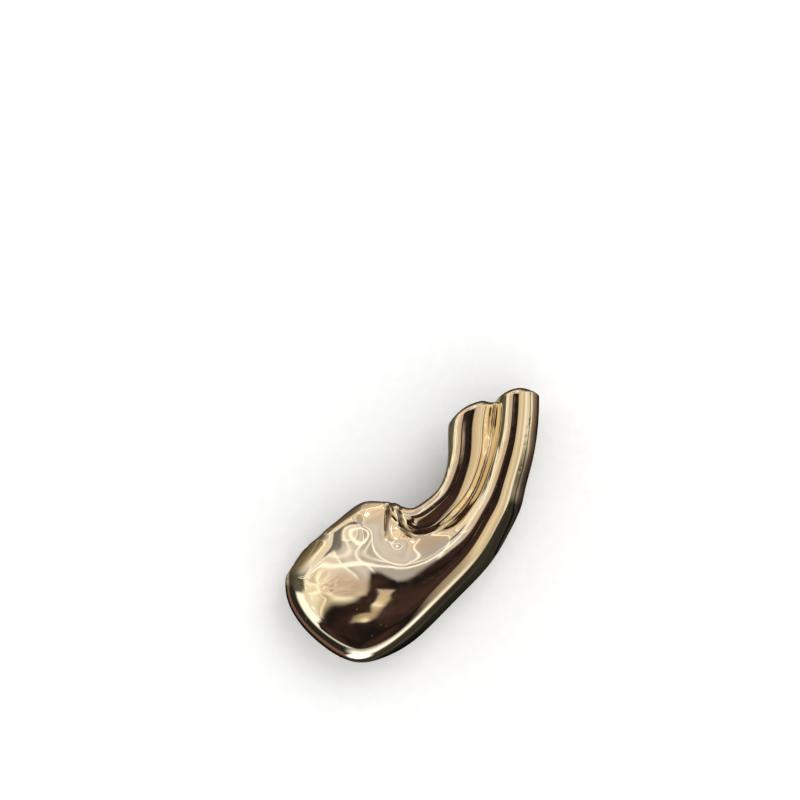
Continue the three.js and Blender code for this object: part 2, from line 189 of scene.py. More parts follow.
RIM_POWER = 2.3  # 2 rolls as a circle, more is squarer
BACK_POWER = 2.2
VALLEY_BLEND = 0.4  # rounding of the hollow between the two folds
TIP_BLEND = 0.35  # rounding of the hollow round the inner fold's foot
INNER_BLEND = 0.8  # the same two hollows, on the inner sheet
INNER_ROLL = 2.6  # least turning radius of the inner sheet at the rim
INNER_SMOOTHING = 4  # passes
# The soft fall to the lobe's free edge: the sections between which it lasts, how quickly it
# comes and goes, how deep it is and how wide.
EDGE_EASE = {"start": 9.3, "stop": 15.5, "rate": 3.0, "drop": 0.35, "width": 0.7}

# How finely the sheet is divided. Every count is a multiple of INNER_STEP.
INNER_STEP = 4
ALONG_STEPS = 400
FRONT_STEPS = 144
ROLL_STEPS = 32
BACK_STEPS = 12
LIP_STEPS = 6
LIP_EASING = 24  # passes that turn the lip gently round the corners
RIM_SAMPLES = 400  # straight pieces that stand for the rim in plan
RIM_RUN_ON = 4.0  # how far that line runs on past the corner
CREST_SAMPLES = 120  # the same for the crest line
SPACING_SAMPLES = 2000  # points that measure out how close the sections lie
NOTCH_AT = {"at": 9.6, "spread": 1.6, "closer": 1.6}  # sections lie closer together at the notch


# ---------------------------------------------------------------- the shape of the casting

def spline(xs, ys):
    """Natural cubic spline through (x, y) pairs, for arrays."""
    xs = np.array(xs, float)
    ys = np.array(ys, float)
    count = len(xs)
    gaps = np.diff(xs)
    slopes = np.diff(ys) / gaps
    system = np.eye(count)
    right = np.zeros(count)
    for i in range(1, count - 1):
        system[i, i - 1:i + 2] = gaps[i - 1], 2 * (gaps[i - 1] + gaps[i]), gaps[i]
        right[i] = 6 * (slopes[i] - slopes[i - 1])
    bends = np.linalg.solve(system, right)

    def value(x):
        x = np.asarray(x, float)
        i = np.clip(np.searchsorted(xs, x, side="right") - 1, 0, count - 2)
        span = xs[i + 1] - xs[i]
        a = (xs[i + 1] - x) / span
        b = 1 - a
        curved = ((a ** 3 - a) * bends[i] + (b ** 3 - b) * bends[i + 1]) * span ** 2 / 6
        return a * ys[i] + b * ys[i + 1] + curved

    return value


def columns(rows, key="at"):
    """One spline for each named column of a table."""
    places = [row[key] for row in rows]
    return {name: spline(places, [row[name] for row in rows]) for name in rows[0] if name != key}


def outline_splines():
    return columns([
        {"at": at, "rim_x": row["rim"][0], "rim_y": row["rim"][1],
         "mouth_x": row["mouth"][0], "mouth_y": row["mouth"][1]}
        for at, row in enumerate(OUTLINE)])


outline = outline_splines()
helix = columns(HELIX)
antihelix = columns(ANTIHELIX)
valley = columns(VALLEY)
back = columns(BACK)
cut_end = columns(CUT_END, "across")


def beside_path(x, y, path):
    """How points lie by a line of straight pieces in plan: distance, share along it and side."""
    path = np.asarray(path, float)
    lengths = np.concatenate([[0], np.cumsum(np.hypot(*np.diff(path, axis=0).T))])
    least = np.full(np.shape(x), np.inf)
    share = np.zeros(np.shape(x))
    side = np.zeros(np.shape(x))
    for (x0, y0), (x1, y1), before, after in zip(path[:-1], path[1:], lengths[:-1], lengths[1:]):
        dx, dy = x1 - x0, y1 - y0
        t = np.clip(((x - x0) * dx + (y - y0) * dy) / (dx * dx + dy * dy), 0, 1)
        away = np.hypot(x - x0 - t * dx, y - y0 - t * dy)
        nearer = away < least
        share = np.where(nearer, (before + t * (after - before)) / lengths[-1], share)
        side = np.where(nearer, np.sign(dx * (y - y0) - dy * (x - x0)), side)
        least = np.where(nearer, away, least)
    return least, share, side


def rim_line():
    """The rim in plan, run on straight past the corner."""
    at = np.linspace(0, len(OUTLINE) - 1, RIM_SAMPLES + 1)
    line = np.stack([outline["rim_x"](at), outline["rim_y"](at)], axis=-1)
    onward = line[-1] - line[-2]
    return np.vstack([line, line[-1] + RIM_RUN_ON * onward / np.linalg.norm(onward)])


RIM_LINE = rim_line()


def curve_through(path, samples):
    """A smooth curve through the points of a path."""
    path = np.asarray(path, float)
    at = np.linspace(0, len(path) - 1, samples)
    return np.stack([spline(range(len(path)), path[:, k])(at) for k in (0, 1)], axis=-1)


CREST_CURVE = curve_through(CREST_LINE, CREST_SAMPLES)


def rise(a, b, blend):
    """The higher of two heights, rounded where they meet."""
    return 0.5 * (a + b + np.hypot(a - b, blend))


def roll(share, power):
    """A quarter of a rounded square: 0 at the rim, 1 where the roll ends."""
    rest = 1 - np.clip(share, 0, 1)
    return (1 - rest ** power) ** (1 / power)


def beside_crest(x, y):
    """Signed distance from the crest line, less than 0 towards the mouth, and how far past it."""
    away, _, side = beside_path(x, y, CREST_CURVE)
    end = CREST_CURVE[-1]
    onward = (end - CREST_CURVE[-2]) / np.linalg.norm(end - CREST_CURVE[-2])
    past = (x - end[0]) * onward[0] + (y - end[1]) * onward[1]
    straight = onward[0] * (y - end[1]) - onward[1] * (x - end[0])
    near_end = np.isclose(np.hypot(x - end[0], y - end[1]), away, rtol=0, atol=1e-9)
    return np.where(near_end, straight, side * away), np.where(near_end, np.maximum(past, 0), 0)


def helix_height(at, x, y):
    across, past = beside_crest(x, y)
    flank = helix["flank"](at)
    radius = np.where(across < 0, helix["radius"](at), helix["rim_radius"](at))
    steep = helix["fall"](at) - flank ** 2 / (2 * helix["radius"](at))
    bow = across ** 2 / (2 * radius) + past ** 2 / (2 * CREST_END_RADIUS)
    return helix["crest"](at) - bow - steep * (np.maximum(-across, 0) / flank) ** 4


def antihelix_height(at, inward, x, y, inner):
    past_tip = (x - TIP["place"][0]) * TIP["towards"][0] + (y - TIP["place"][1]) * TIP["towards"][1]
    past_tip = np.maximum(past_tip, 0)
    sideways = inward - antihelix["centre"](at)
    out = np.hypot(sideways, past_tip)
    edge = ANTIHELIX_BOW["edge"] * np.maximum(-sideways, 0) ** 4
    drop = out ** 2 / (2 * ANTIHELIX_BOW["radius"]) + edge
    turn = ANTIHELIX_WALL["inner_turn" if inner else "turn"]
    past_top = np.hypot(np.maximum(sideways, 0), past_tip) - antihelix["top"](at)
    wall = turn * np.logaddexp(0, past_top / turn)
    return antihelix["crest"](at) - drop - ANTIHELIX_WALL["slope"] * wall


def front_height(at, inward, x, y, inner, sizes):
    """Height of the front before the rim's roll. The inner sheet's hollows are softer."""
    folds = rise(helix_height(at, x, y), valley["height"](at),
                 INNER_BLEND if inner else VALLEY_BLEND)
    height = rise(folds, antihelix_height(at, inward, x, y, inner),
                  INNER_BLEND if inner else TIP_BLEND)
    eased = (1 / (1 + np.exp(-(at - EDGE_EASE["start"]) * EDGE_EASE["rate"]))
             / (1 + np.exp((at - EDGE_EASE["stop"]) * EDGE_EASE["rate"])))
    height = height - EDGE_EASE["drop"] * eased * np.exp(-(inward / EDGE_EASE["width"]) ** 2)
    if inner:
        return height - INNER_BLEND + (VALLEY_BLEND + TIP_BLEND) / 2
    for crease in CREASES:
        away, share, _ = beside_path(x, y, crease["path"])
        depth = sizes.crease_depth * crease["depth"] * (1 - share ** CREASE_FADE)
        height = height - depth * np.exp(-(away / crease["width"]) ** 2)
    for swell in SWELLS:
        away = np.hypot(x - swell["centre"][0], y - swell["centre"][1]) / swell["radius"]
        height = height + swell["height"] * np.exp(-away ** 2)
    for pit in PITS:
        away = np.hypot(x - pit["place"][0], y - pit["place"][1]) / pit["radius"]
        height = height - PIT_SHAPE * pit["radius"] * np.exp(-away ** 2)
    return height


def crease_shade_of(points):
    """How strongly painted shade darkens the sharp folds, from 0 to 1, for points of the front."""
    x, y = points[..., 0], points[..., 1]
    shaded = np.zeros(x.shape)
    for crease in CREASES:
        away, share, _ = beside_path(x, y, crease["path"])
        here = np.exp(-(away / (CREASE_SHADE_SPREAD * crease["width"])) ** 2)
        here = here * (1 - share ** CREASE_SHADE_FADE)
        shaded = np.maximum(shaded, here)
    return shaded


def section_ends(at):
    mouth = np.stack([outline["mouth_x"](at), outline["mouth_y"](at)], axis=-1)
    rim = np.stack([outline["rim_x"](at), outline["rim_y"](at)], axis=-1)
    return mouth, rim, np.linalg.norm(rim - mouth, axis=-1)


def front_points(at, share, inner, sizes):
    """Points of the front, at a share of the way from the mouth edge to the rim."""
    rim_height = sizes.rim_height / MM
    mouth, rim, width = section_ends(at)
    lip = 0.5 * sizes.wall / MM * sizes.lip_roundness
    share = share + (1 - share) * lip / width
    x = mouth[..., 0] + (rim[..., 0] - mouth[..., 0]) * share
    y = mouth[..., 1] + (rim[..., 1] - mouth[..., 1]) * share
    from_rim = np.where(share < 1, beside_path(x, y, RIM_LINE)[0], 0)
    reach = np.maximum(helix["roll"](at), INNER_ROLL if inner else 0)
    height = front_height(at, share * width, x, y, inner, sizes)
    z = rim_height + (height - rim_height) * roll(from_rim / reach, RIM_POWER)
    return np.stack([x, y, z], axis=-1)


def back_points(at, across, inner, sizes):
    """Points of the back wall: across runs to 1 over the roll and on to 2 over the flat."""
    mouth, rim, width = section_ends(at)
    turned = 1 - np.cos(np.pi / 2 * np.minimum(across, 1))
    from_rim = back["roll"](at) * turned
    from_rim = from_rim + (back["reach"](at) - back["roll"](at)) * np.maximum(across - 1, 0)
    x = rim[..., 0] + (mouth[..., 0] - rim[..., 0]) * from_rim / width
    y = rim[..., 1] + (mouth[..., 1] - rim[..., 1]) * from_rim / width
    reach = np.maximum(back["roll"](at), INNER_ROLL if inner else 0)
    z = sizes.rim_height / MM * (1 - roll(from_rim / reach, BACK_POWER))
    return np.stack([x, y, z], axis=-1)


def along_spacing(start, end, steps):
    """Shares from start to end, closer together at the notch."""
    at = np.linspace(start, end, SPACING_SAMPLES)
    density = 1 + NOTCH_AT["closer"] * np.exp(-((at - NOTCH_AT["at"]) / NOTCH_AT["spread"]) ** 2)
    total = np.concatenate([[0], np.cumsum((density[1:] + density[:-1]) / 2)])
    shares = (at - start) / (end - start)
    return np.interp(np.linspace(0, total[-1], steps + 1), total, shares)


def sheet(step, inner, sizes):
    """The sheet as rows along of points across, taking every step-th line both ways."""
    shares = along_spacing(0, CORNER["end"], ALONG_STEPS)[::step]
    lines = []
    for j in range(0, FRONT_STEPS + ROLL_STEPS + BACK_STEPS + 1, step):
        share = math.sin(math.pi / 2 * min(1, j / FRONT_STEPS))
        beyond = (j - FRONT_STEPS) / (ROLL_STEPS + BACK_STEPS)
        end = CORNER["end"]
        if beyond <= 0:
            climb = cut_end["rise"](share)
            end += CORNER["bow"] * 4 * share * (1 - share)
        else:
            climb = cut_end["rise"](1) * (1 - beyond) + BACK_END_RISE * beyond
        start = 1 - climb / SECTION_PITCH
        at = start + (end - start) * shares
        if beyond <= 0:
            lines.append(front_points(at, share, inner, sizes))
        else:
            rolled = min(1, (j - FRONT_STEPS) / ROLL_STEPS)
            flat = max(0, (j - FRONT_STEPS - ROLL_STEPS) / BACK_STEPS)
            lines.append(back_points(at, rolled + flat, inner, sizes))
    return np.stack(lines, axis=1)


def normals_of(rows):
    """Unit normals of a sheet, pointing out of the shell."""
    out = np.cross(np.gradient(rows, axis=0), np.gradient(rows, axis=1))
    return out / np.linalg.norm(out, axis=-1, keepdims=True)


def smoothed(rows):
    """Every point moved half way to the mean of its neighbours; an edge keeps to its own line."""
    middle = (rows[:-2] + rows[2:]) / 2
    across = (rows[:, :-2] + rows[:, 2:]) / 2
    result = rows.copy()
    result[1:-1, 1:-1] = (rows[1:-1, 1:-1] + (middle[:, 1:-1] + across[1:-1]) / 2) / 2
    for j in (0, -1):
        result[1:-1, j] = (rows[1:-1, j] + middle[:, j]) / 2
    for i in (0, -1):
        result[i, 1:-1] = (rows[i, 1:-1] + across[i]) / 2
    return result


def inner_sheet(sizes):
    """One wall thickness in from a softer and coarser copy of the outer sheet."""
    base = sheet(INNER_STEP, True, sizes)
    inner = base - normals_of(base) * sizes.wall / MM
    for _ in range(INNER_SMOOTHING):
        inner = smoothed(inner)
    return inner


def loop_of(rows, columns_across):
    """The grid places round a sheet's four edges, once round."""
    i = np.arange(rows)
    j = np.arange(columns_across)
    sides = (
        [(0, k) for k in j[:-1]],
        [(k, j[-1]) for k in i[:-1]],
        [(i[-1], k) for k in j[:0:-1]],
        [(k, 0) for k in i[:0:-1]],
    )
    return np.array([place for side in sides for place in side])


def lip_rings(outer, inner, sizes):
    """Rings of points that turn half round from the outer edge to the inner one."""
    edge = np.roll(outer, -1, axis=0) - np.roll(outer, 1, axis=0)
    through = (outer - inner) / 2
    middle = (outer + inner) / 2
    bulge = np.cross(through, edge)
    bulge = bulge / np.linalg.norm(bulge, axis=-1, keepdims=True)
    for _ in range(LIP_EASING):
        bulge = (np.roll(bulge, 1, axis=0) + 2 * bulge + np.roll(bulge, -1, axis=0)) / 4
    size = np.linalg.norm(through, axis=-1, keepdims=True) * sizes.lip_roundness
    rings = []
    for step in range(1, LIP_STEPS):
        turn = math.pi * step / LIP_STEPS
        ring = middle + through * math.cos(turn) + bulge * size * math.sin(turn)
        ring[:, 2] = np.maximum(ring[:, 2], 0)
        rings.append(ring)
    return rings


def grid_faces(first, rows, across, flip):
    i, j = np.meshgrid(np.arange(rows - 1), np.arange(across - 1), indexing="ij")
    a = (first + i * across + j).ravel()
    quads = np.stack([a, a + across, a + across + 1, a + 1], axis=-1)
    return (quads[:, ::-1] if flip else quads).tolist()


def shell_mesh(sizes):
    """Points and faces of the whole closed shell, in millimetres."""
    outer = sheet(1, False, sizes)
    inner = inner_sheet(sizes)
    rows, across = outer.shape[:2]
    inner_rows, inner_across = inner.shape[:2]
    loop = loop_of(rows, across)
    inner_loop = loop_of(inner_rows, inner_across)

    coarse = inner[inner_loop[:, 0], inner_loop[:, 1]]
    after = np.roll(coarse, -1, axis=0)
    shares = np.arange(INNER_STEP)[:, None, None] / INNER_STEP
    facing = np.swapaxes(coarse * (1 - shares) + after * shares, 0, 1).reshape(-1, 3)
    rings = lip_rings(outer[loop[:, 0], loop[:, 1]], facing, sizes)

    first_inner = rows * across
    first_ring = first_inner + inner_rows * inner_across
    count = len(loop)
    strips = [loop[:, 0] * across + loop[:, 1]]
    strips += [first_ring + r * count + np.arange(count) for r in range(len(rings))]
    faces = grid_faces(0, rows, across, False)
    faces += grid_faces(first_inner, inner_rows, inner_across, True)
    for near, far in zip(strips[:-1], strips[1:]):
        faces += np.stack([near, np.roll(near, -1), np.roll(far, -1), far], axis=-1).tolist()
    ends = first_inner + inner_loop[:, 0] * inner_across + inner_loop[:, 1]
    last = np.append(strips[-1], strips[-1][0]).tolist()
    for k in range(len(ends)):
        fine = last[k * INNER_STEP:(k + 1) * INNER_STEP + 1]
        faces.append(fine + [int(ends[(k + 1) % len(ends)]), int(ends[k])])
    points = np.concatenate([outer.reshape(-1, 3), inner.reshape(-1, 3), *rings])
    return points, faces


def seated(points):
    """Points in metres, centred in plan on the frame's cuff and standing where it stands."""
    low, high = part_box("cuff_shell")
    middle = (points.min(axis=0) + points.max(axis=0)) / 2
    moved = (points - [middle[0], middle[1], points[:, 2].min()]) * MM
    return moved + [(low.x + high.x) / 2, (low.y + high.y) / 2, low.z]


# ---------------------------------------------------------------- nodes

class Nodes:
    """Short ways to add and link nodes in one tree."""

    def __init__(self, tree):
        self.tree = tree
        tree.nodes.clear()

    def add(self, kind, inputs=None, **settings):
        node = self.tree.nodes.new(kind)
        for name, value in settings.items():
            setattr(node, name, value)
        for name, value in (inputs or {}).items():
            socket = node.inputs[name]
            if isinstance(value, bpy.types.NodeSocket):
                self.tree.links.new(value, socket)
            else:
                socket.default_value = value
        return node

    def math(self, operation, a, b=0.0, c=0.0):
        node = self.add("ShaderNodeMath", {0: a, 1: b, 2: c}, operation=operation)
        return node.outputs[0]

    def ramp(self, factor, stops, interpolation="LINEAR"):
        node = self.add("ShaderNodeValToRGB", {"Fac": factor})
        node.color_ramp.interpolation = interpolation
        elements = node.color_ramp.elements
        while len(elements) < len(stops):
            elements.new(0.5)
        for element, (place, colour) in zip(elements, stops):
            element.position = place
            element.color = (*colour, 1.0)
        return node.outputs["Color"]

    def mix(self, factor, a, b):
        node = self.add("ShaderNodeMix", data_type="RGBA")
        for socket, value in ((node.inputs[0], factor), (node.inputs[6], a), (node.inputs[7], b)):
            if isinstance(value, bpy.types.NodeSocket):
                self.tree.links.new(value, socket)
            else:
                socket.default_value = value
        return node.outputs[2]


# The patterns of the metal and the paper: how many to the metre, and how fine their detail.
TONE = {"scale": 180.0, "detail": 3.0, "ends": (0.3, 0.7)}  # from deep gold to gold
WORN = {"scale": 900.0, "detail": 6.0, "ends": (0.35, 0.75)}  # from clean to worn
WAVES = {"scale": 260.0, "detail": 2.0, "strength": 0.25}
PITTED = {"scale": 330.0, "detail": 2.0, "start": 0.63}  # the patches that have casting pits
FINE_PITS = {"scale": 1500.0, "radius": 0.16, "strength": 0.5}
# Roughness added where the sharp folds carry painted shade.
CREASE_SHADE_ROUGHNESS = 0.25
TOOTH = {"scale": 700.0, "detail": 4.0, "ends": (0.3, 0.7), "shade": 0.97, "strength": 0.2,
         "depth": 0.0002, "roughness": 0.9}


def pattern(nodes, sizes):
    """A cloudy pattern that stays with the piece."""
    place = nodes.add("ShaderNodeTexCoord").outputs["Object"]
    return nodes.add("ShaderNodeTexNoise", {
        "Vector": place, "Scale": sizes["scale"], "Detail": sizes["detail"]}).outputs["Fac"]


def gold_material(finish):
    """Hand-polished pale gold: a mirror with a little unevenness, fine wear and tiny pits, and
    painted shade in its sharp folds.
    """
    material = bpy.data.materials.new("polished_gold")
    material.use_nodes = True
    nodes = Nodes(material.node_tree)
    colour = nodes.ramp(pattern(nodes, TONE), (
        (TONE["ends"][0], tuple(finish.deep_gold)),
        (TONE["ends"][1], tuple(finish.gold)),
    ))
    roughness = nodes.add("ShaderNodeMapRange", {
        "Value": pattern(nodes, WORN), "From Min": WORN["ends"][0], "From Max": WORN["ends"][1],
        "To Min": finish.polish, "To Max": finish.polish + finish.wear}).outputs["Result"]
    hammer = nodes.add("ShaderNodeBump", {
        "Height": pattern(nodes, WAVES), "Strength": WAVES["strength"],
        "Distance": finish.unevenness})
    place = nodes.add("ShaderNodeTexCoord").outputs["Object"]
    grains = nodes.add("ShaderNodeTexVoronoi", {
        "Vector": place, "Scale": FINE_PITS["scale"], "Randomness": 1.0}).outputs["Distance"]
    pit = nodes.math("MULTIPLY", nodes.math("LESS_THAN", grains, FINE_PITS["radius"]),
                     nodes.math("GREATER_THAN", pattern(nodes, PITTED), PITTED["start"]))
    pits = nodes.add("ShaderNodeBump", {
        "Height": nodes.math("MULTIPLY", pit, -1.0), "Strength": FINE_PITS["strength"],
        "Distance": finish.pit_depth, "Normal": hammer.outputs["Normal"]})
    # Painted shade: the sharp folds are mixed towards a dark colour by the mask that the shell's
    # mesh carries, and made a little rougher.
    crease_shade = nodes.math("MULTIPLY", finish.crease_shade, nodes.add(
        "ShaderNodeAttribute", attribute_name="crease_shade").outputs["Fac"])
    colour = nodes.mix(crease_shade, colour, (*finish.crease_shade_colour, 1.0))
    roughness = nodes.math("MULTIPLY_ADD", crease_shade, CREASE_SHADE_ROUGHNESS, roughness)
    shader = nodes.add("ShaderNodeBsdfPrincipled", {
        "Base Color": colour, "Metallic": 1.0, "Roughness": roughness,
        "Normal": pits.outputs["Normal"]})
    nodes.add("ShaderNodeOutputMaterial", {"Surface": shader.outputs["BSDF"]})
    return material


def paper_material(stage):
    """Smooth pale card with a faint tooth."""
    material = bpy.data.materials.new("pale_card")
    material.use_nodes = True
    nodes = Nodes(material.node_tree)
    tooth = pattern(nodes, TOOTH)
    base = tuple(stage.paper)
    colour = nodes.ramp(tooth, (
        (TOOTH["ends"][0], tuple(TOOTH["shade"] * c for c in base)),
        (TOOTH["ends"][1], base),
    ))
    bump = nodes.add("ShaderNodeBump", {
        "Height": tooth, "Strength": TOOTH["strength"], "Distance": TOOTH["depth"]})
    shader = nodes.add("ShaderNodeBsdfPrincipled", {
        "Base Color": colour, "Roughness": TOOTH["roughness"], "Normal": bump.outputs["Normal"]})
    nodes.add("ShaderNodeOutputMaterial", {"Surface": shader.outputs["BSDF"]})
    return material


# ---------------------------------------------------------------- settings

class CuffSizes(bpy.types.PropertyGroup):
    """Sizes of the casting."""

    wall: FloatProperty(
        name="Wall", description="Thickness of the metal", default=0.001,
        min=0.0006, max=0.002, subtype="DISTANCE", unit="LENGTH")
    rim_height: FloatProperty(
        name="Rim height", description="Height of the widest line of the rim over the back",
        default=0.0052, min=0.003, max=0.008, subtype="DISTANCE", unit="LENGTH")
    lip_roundness: FloatProperty(
        name="Lip roundness", description="How round the edges are: 1 is a half circle",
        default=0.8, min=0.1, max=1.0, subtype="FACTOR")
    crease_depth: FloatProperty(
        name="Crease depth", description="Share of the full depth of the creases",
        default=1.0, min=0.0, max=1.2, subtype="FACTOR")


class CuffFinish(bpy.types.PropertyGroup):
    """Colour and polish of the gold."""

    gold: FloatVectorProperty(
        name="Gold", description="Main colour of the gold", default=(0.95, 0.845, 0.64),
        min=0.0, max=1.0, size=3, subtype="COLOR")
    deep_gold: FloatVectorProperty(
        name="Deep gold", description="Warmer tone that the gold varies towards",
        default=(0.93, 0.80, 0.57), min=0.0, max=1.0, size=3, subtype="COLOR")
    polish: FloatProperty(
        name="Polish", description="Roughness of the cleanest metal", default=0.03,
        min=0.0, max=0.5, subtype="FACTOR")
    wear: FloatProperty(
        name="Wear", description="Roughness added where the polish is worn", default=0.06,
        min=0.0, max=0.5, subtype="FACTOR")
    # Strength of the painted shade in the sharp folds.
    crease_shade: FloatProperty(
        name="Crease shade", description="How dark the sharp folds are", default=0.9,
        min=0.0, max=1.0, subtype="FACTOR")
    # Colour of the painted shade in the sharp folds.
    crease_shade_colour: FloatVectorProperty(
        name="Crease shade colour", description="Colour of the polish left in the folds",
        default=(0.10, 0.07, 0.045), min=0.0, max=1.0, size=3, subtype="COLOR")
    unevenness: FloatProperty(
        name="Unevenness", description="Height of the soft waves that hand polishing leaves",
        default=0.00004, min=0.0, max=0.0005, precision=6, subtype="DISTANCE", unit="LENGTH")
    pit_depth: FloatProperty(
        name="Pit depth", description="Depth of the casting pits", default=0.00005,
        min=0.0, max=0.0005, precision=6, subtype="DISTANCE", unit="LENGTH")


class StageSettings(bpy.types.PropertyGroup):
    """The table top, its light and the camera."""

    floor_size: FloatProperty(
        name="Floor size", description="Side of the square floor", default=1.6,
        min=0.2, max=5.0, subtype="DISTANCE", unit="LENGTH")
    paper: FloatVectorProperty(
        name="Paper", description="Colour of the floor", default=(0.86, 0.86, 0.855),
        min=0.0, max=1.0, size=3, subtype="COLOR")
    key_power: FloatProperty(
        name="Key light", description="Power of the soft light over the floor", default=1.6,
        min=0.0, max=100.0, unit="POWER")
    soft_light: FloatVectorProperty(
        name="Soft light", description="Colour of the even light all round",
        default=(1.0, 1.0, 1.0), min=0.0, max=1.0, size=3, subtype="COLOR")
    soft_strength: FloatProperty(
        name="Soft light strength", description="Strength of the even light all round",
        default=1.05, min=0.0, max=5.0)
    room_strength: FloatProperty(
        name="Room strength", description="Strength of the room that the gold mirrors",
        default=1.06, min=0.0, max=5.0)
    camera_distance: FloatProperty(
        name="Camera distance", description="Distance from the rim's plane to the camera",
        default=0.5, min=0.1, max=2.0, subtype="DISTANCE", unit="LENGTH")
    field_width: FloatProperty(
        name="Field width", description="Width that the camera sees at the rim's plane",
        default=0.1, min=0.02, max=1.0, subtype="DISTANCE", unit="LENGTH")
    aim: FloatVectorProperty(
        name="Aim", description="Where the camera looks, from the middle of the cuff",
        default=(-0.00153, 0.01566), size=2, subtype="XYZ", unit="LENGTH")


# ---------------------------------------------------------------- operators

class CUFF_OT_shell(bpy.types.Operator):
    """Build the cast shell and give it its polished gold"""

    bl_idname = "cuff.shell"
    bl_label = "Shell"
    bl_options = {"REGISTER", "UNDO"}

    def execute(self, context):
        points, faces = shell_mesh(context.scene.cuff_sizes)
        mesh = bpy.data.meshes.new("polished_shell")
        mesh.from_pydata(seated(points).tolist(), [], faces)
        if mesh.validate():
            raise RuntimeError("the shell's mesh has bad faces")
        mesh.shade_smooth()
        rows = ALONG_STEPS + 1
        across = FRONT_STEPS + ROLL_STEPS + BACK_STEPS + 1
        # A mask of painted shade for the sharp folds of the front, read by the gold material.
        shaded = np.zeros(len(points))
        front = np.arange(rows * across).reshape(rows, across)[:, :FRONT_STEPS].ravel()
        shaded[front] = crease_shade_of(points[front])
        mesh.attributes.new("crease_shade", "FLOAT", "POINT").data.foreach_set("value", shaded)
        mesh.materials.append(gold_material(context.scene.cuff_finish))
        shell = bpy.data.objects.new("polished_shell", mesh)
        context.scene.collection.objects.link(shell)
        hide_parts("cuff_shell")
        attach(shell, "root")
        return {"FINISHED"}


# The room that the gold mirrors. It is laid out on a disc as a ball mirror on the floor would
# show it from above: the middle is straight up, the edge straight down, +x right and +y back.
# Across the disc, from left to right:
ROOM_ACROSS = (
    (-1.0, (0.0, 0.0, 0.0)),
    (-0.96, (0.02, 0.02, 0.02)),
    (-0.90, (0.40, 0.37, 0.32)),
    (-0.84, (0.30, 0.28, 0.25)),
    (-0.79, (0.05, 0.05, 0.04)),
    (-0.50, (0.14, 0.14, 0.11)),
    (-0.46, (0.85, 0.85, 0.80)),
    (-0.34, (1.00, 0.97, 0.90)),
    (-0.27, (0.72, 0.62, 0.58)),
    (-0.18, (0.55, 0.45, 0.40)),
    (0.15, (0.55, 0.45, 0.33)),
    (0.38, (0.80, 0.70, 0.54)),
    (0.54, (0.55, 0.47, 0.35)),
    (0.59, (0.90, 0.88, 0.82)),
    (0.66, (0.95, 0.90, 0.80)),
    (0.72, (0.72, 0.66, 0.54)),
    (0.785, (0.85, 0.80, 0.70)),
    (0.80, (0.12, 0.10, 0.08)),
    (0.815, (0.12, 0.10, 0.08)),
    (0.83, (0.90, 0.86, 0.80)),
    (0.85, (0.90, 0.86, 0.80)),
    (0.87, (0.34, 0.26, 0.20)),
    (0.93, (0.16, 0.11, 0.08)),
    (0.98, (0.01, 0.01, 0.01)),
    (1.0, (0.0, 0.0, 0.0)),
)
# From the middle outwards, at the front of the room and at its front left:
ROOM_FRONT = (
    (0.0, (0.05, 0.03, 0.03)),
    (0.52, (0.06, 0.04, 0.04)),
    (0.58, (0.50, 0.50, 0.50)),
    (0.62, (1.10, 1.12, 1.15)),
    (0.66, (1.15, 1.18, 1.25)),
    (0.70, (0.06, 0.05, 0.04)),
    (0.80, (0.03, 0.025, 0.02)),
    (0.84, (0.06, 0.055, 0.045)),
    (0.88, (0.01, 0.01, 0.01)),
    (1.0, (0.0, 0.0, 0.0)),
)
ROOM_LEFT = (
    (0.0, (0.52, 0.42, 0.30)),
    (0.16, (0.62, 0.52, 0.38)),
    (0.20, (1.00, 0.92, 0.78)),
    (0.23, (0.66, 0.56, 0.42)),
    (0.29, (0.44, 0.34, 0.22)),
    (0.33, (0.98, 0.90, 0.76)),
    (0.36, (0.60, 0.52, 0.40)),
    (0.42, (0.80, 0.73, 0.60)),
    (0.49, (0.85, 0.80, 0.70)),
    (0.52, (1.15, 1.15, 1.12)),
    (0.64, (1.20, 1.20, 1.18)),
    (0.69, (0.02, 0.02, 0.02)),
    (0.80, (0.02, 0.02, 0.02)),
    (0.84, (0.20, 0.11, 0.09)),
    (0.88, (0.16, 0.09, 0.07)),
    (0.91, (0.01, 0.01, 0.01)),
    (1.0, (0.0, 0.0, 0.0)),
)
# Bright lines that run from side to side behind, by their distance from the middle:
BRIGHT_LINES = (
    (0.160, 0.0), (0.166, 1.0), (0.176, 1.0), (0.182, 0.0),
    (0.200, 0.0), (0.205, 0.7), (0.210, 0.7), (0.215, 0.0),
    (0.520, 0.0), (0.526, 1.0), (0.534, 1.0), (0.540, 0.0),
)
# The ceiling behind: soft grey patches parted by thin bright lines, and darker towards its edge.
CEILING = (
    (0.34, (0.40, 0.38, 0.40)),
    (0.440, (0.48, 0.45, 0.47)),
    (0.446, (1.15, 1.15, 1.15)),
    (0.456, (1.10, 1.10, 1.10)),
    (0.464, (0.56, 0.54, 0.56)),
    (0.520, (0.68, 0.65, 0.66)),
    (0.580, (0.48, 0.45, 0.46)),
    (0.586, (1.15, 1.15, 1.15)),
    (0.596, (1.10, 1.10, 1.10)),
    (0.604, (0.75, 0.70, 0.65)),
)
WARM_CEILING = (
    (0.27, (1.0, 1.0, 1.0)),
    (0.33, (1.15, 1.02, 0.86)),
)
